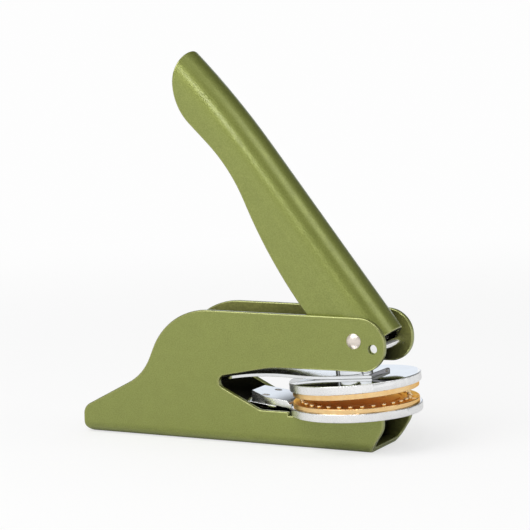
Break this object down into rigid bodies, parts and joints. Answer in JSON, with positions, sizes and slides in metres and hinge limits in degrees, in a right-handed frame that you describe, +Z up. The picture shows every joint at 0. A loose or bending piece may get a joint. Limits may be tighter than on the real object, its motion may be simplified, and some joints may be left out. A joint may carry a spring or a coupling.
{
  "type": "seal embosser",
  "caption": "Hand-held embossing press: a folded channel frame, a channel lever with a cam, and a slide-in die clip whose spring strip holds two round dies apart.",
  "frame": {"origin": "on the frame's flat underside, straight below the centre of the round dies", "axes": "+X towards the die end, +Y across the frame, +Z up"},
  "size_m": [0.1185, 0.043, 0.1289],
  "materials": {
    "body_paint": "satin olive paint with a fine metallic fleck",
    "chrome": "polished chrome plate",
    "die_brass": "machined brass",
    "rivet_nickel": "nickel-plated steel",
    "spring_steel": "bright spring steel",
    "cam_steel": "dark oiled steel"
  },
  "bodies": {
    "root": {"frame_channel": "body_paint", "pivot_rivet": "rivet_nickel", "stop_pin": "rivet_nickel", "catch_spring": "spring_steel", "catch_rivet": "rivet_nickel"},
    "lever": {"lever_channel": "body_paint", "lever_washers": "spring_steel", "press_cam": "cam_steel", "cam_rivet": "rivet_nickel"},
    "die_clip": {"lower_holder": "chrome", "lower_die": "die_brass", "clip_rivets": "rivet_nickel", "clip_spring": "spring_steel"},
    "upper_jaw": {"press_boss": "chrome", "upper_holder": "chrome", "upper_die": "die_brass"}
  },
  "joints": [
    {"name": "lever_pivot", "type": "hinge", "parent": "root", "child": "lever", "pos_m": [0.0048, 0, 0.0365], "axis": [0, -1, 0], "range_deg": [0, 33.4], "stiffness_Nm_per_rad": 0.15, "springref_deg": -34.38},
    {"name": "clip_slide", "type": "slide", "parent": "root", "child": "die_clip", "axis": [0.9993, 0, 0.0375], "range_m": [0, 0.08]},
    {"name": "jaw_flex", "type": "hinge", "parent": "die_clip", "child": "upper_jaw", "pos_m": [-0.0596, 0, 0.0155], "axis": [0, 1, 0], "range_deg": [0, 2.53], "deforming": ["clip_spring"]}
  ],
  "couplings": [
    {"joint": "jaw_flex", "follows": "lever_pivot", "ratio": 0.075748}
  ]
}
